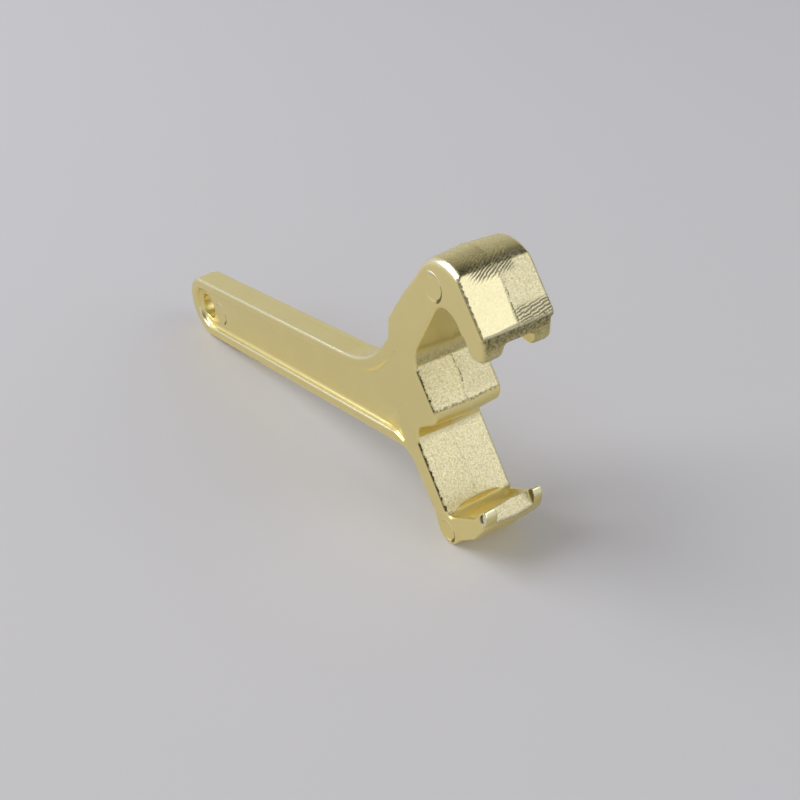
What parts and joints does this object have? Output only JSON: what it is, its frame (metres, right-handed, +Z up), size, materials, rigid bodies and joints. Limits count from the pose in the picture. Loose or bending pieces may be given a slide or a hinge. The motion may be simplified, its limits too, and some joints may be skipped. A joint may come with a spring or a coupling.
{
  "type": "fire hydrant wrench",
  "caption": "Cast spanner with a recessed flat handle and a wide head, whose hook and claw grip the lugs of hydrant caps and hose couplings.",
  "frame": {"origin": "middle of the bounding box's base, on the floor that the heel and the handle's end rest on", "axes": "+X along the wrench from the hanging eye to the head, +Y across its thickness from the side that the handle is flush with, +Z up"},
  "size_m": [0.2606, 0.032, 0.1297],
  "materials": {
    "gold_casting": "satin as-cast metal in a pale gold colour, with blasted working faces"
  },
  "bodies": {
    "root": {"hanging_eye": "gold_casting", "handle_upper_rail": "gold_casting", "handle_web": "gold_casting", "handle_lower_rail": "gold_casting", "neck": "gold_casting", "upper_arm": "gold_casting", "hook_crown": "gold_casting", "hook_finger": "gold_casting", "finger_tooth_near": "gold_casting", "finger_tooth_far": "gold_casting", "inner_jaw": "gold_casting", "leg": "gold_casting", "heel": "gold_casting", "claw": "gold_casting", "claw_horn_near": "gold_casting", "claw_horn_far": "gold_casting"}
  },
  "joints": []
}
